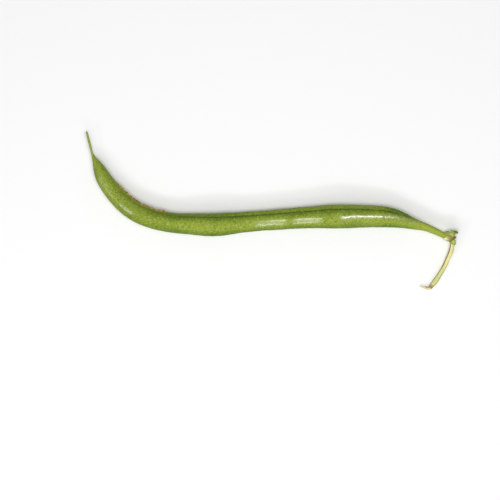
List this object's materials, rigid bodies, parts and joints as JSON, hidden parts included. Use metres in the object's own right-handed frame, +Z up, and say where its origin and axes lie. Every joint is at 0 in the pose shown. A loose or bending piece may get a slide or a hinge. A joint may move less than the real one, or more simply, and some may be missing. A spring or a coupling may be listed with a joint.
{
  "type": "green bean",
  "caption": "Picked green bean lying on its side: a long curved pod with a thin beak at one end and a small calyx with its bent stalk at the other.",
  "frame": {"origin": "bottom centre of the bean's bounding box, on the table that it lies on", "axes": "+X along the pod from its beak towards its stalk, +Y towards the inside of the pod's bend, +Z up"},
  "size_m": [0.1451, 0.0615, 0.0085],
  "materials": {
    "pod_skin": "satin",
    "calyx_green": "satin",
    "bracteole_green": "matte",
    "pedicel_green": "matte"
  },
  "bodies": {
    "root": {"pod": "pod_skin", "calyx": "calyx_green", "bracteole": "bracteole_green", "pedicel": "pedicel_green"}
  },
  "joints": []
}
